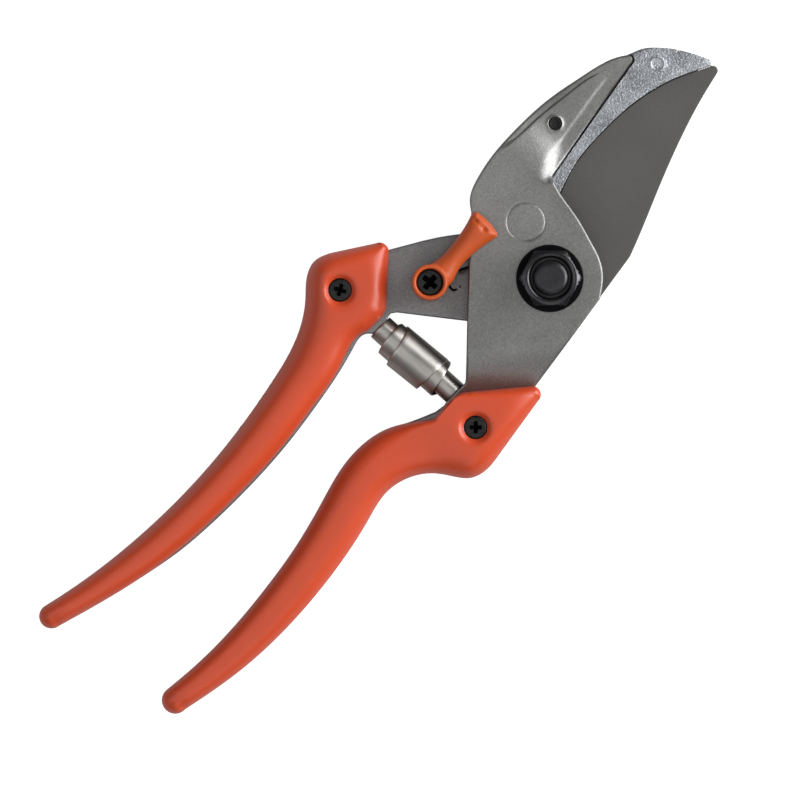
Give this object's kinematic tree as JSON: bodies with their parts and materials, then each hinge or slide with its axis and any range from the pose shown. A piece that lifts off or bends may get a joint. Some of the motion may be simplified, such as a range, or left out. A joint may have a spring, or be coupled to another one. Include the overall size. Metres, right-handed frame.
{
  "type": "pruning shears",
  "caption": "Anvil pruning shears with a curved blade, lock-nut pivot, swinging closing latch, volute spring and moulded grip covers.",
  "frame": {"origin": "on the pivot axis, on the back face of the pivot bolt's head, which lies on the ground", "axes": "+X from the grips to the blade's tip, +Y towards the anvil, +Z out of the lock nut's side"},
  "size_m": [0.2101, 0.0651, 0.0254],
  "materials": {
    "aluminium_satin": "blasted satin, polished edge",
    "zinc_plate": "zinc plated, lightly textured",
    "dark_steel": "ground steel",
    "bronze": "plain bearing bronze",
    "orange_grip": "satin moulded plastic",
    "orange_latch": "satin moulded plastic",
    "black_screw": "black oxide",
    "black_oxide": "black oxide, semi-gloss",
    "lock_ring_nylon": "dark nylon",
    "blade_coating": "dark anti-stick coating",
    "spring_steel": "polished stainless strip"
  },
  "bodies": {
    "anvil_side": {"anvil_arm": "aluminium_satin", "anvil": "zinc_plate", "anvil_pin": "dark_steel", "pivot_bush": "bronze", "right_grip_cover": "orange_grip", "right_grip_screw": "black_screw", "volute_spring": "spring_steel"},
    "blade_side": {"blade_arm": "aluminium_satin", "blade": "blade_coating", "blade_screw": "black_screw", "blade_dowel": "dark_steel", "pivot_bolt": "black_oxide", "pivot_washer": "black_oxide", "pivot_nut": "black_oxide", "nut_lock_ring": "lock_ring_nylon", "sliding_disc": "bronze", "left_grip_cover": "orange_grip", "left_grip_screw": "black_screw", "latch_bush": "dark_steel", "latch_screw": "black_screw", "latch_spring_washer": "spring_steel"},
    "latch": {"latch_lever": "orange_latch"}
  },
  "joints": [
    {"name": "blade_pivot", "type": "hinge", "parent": "anvil_side", "child": "blade_side", "pos_m": [0, 0, 0.0137], "axis": [0, 0, -1], "range_deg": [0, 30], "deforming": ["volute_spring"]},
    {"name": "latch_swing", "type": "hinge", "parent": "blade_side", "child": "latch", "pos_m": [-0.0211, 0.0197, 0.018], "axis": [0, 0, -1], "range_deg": [0, 55]}
  ]
}
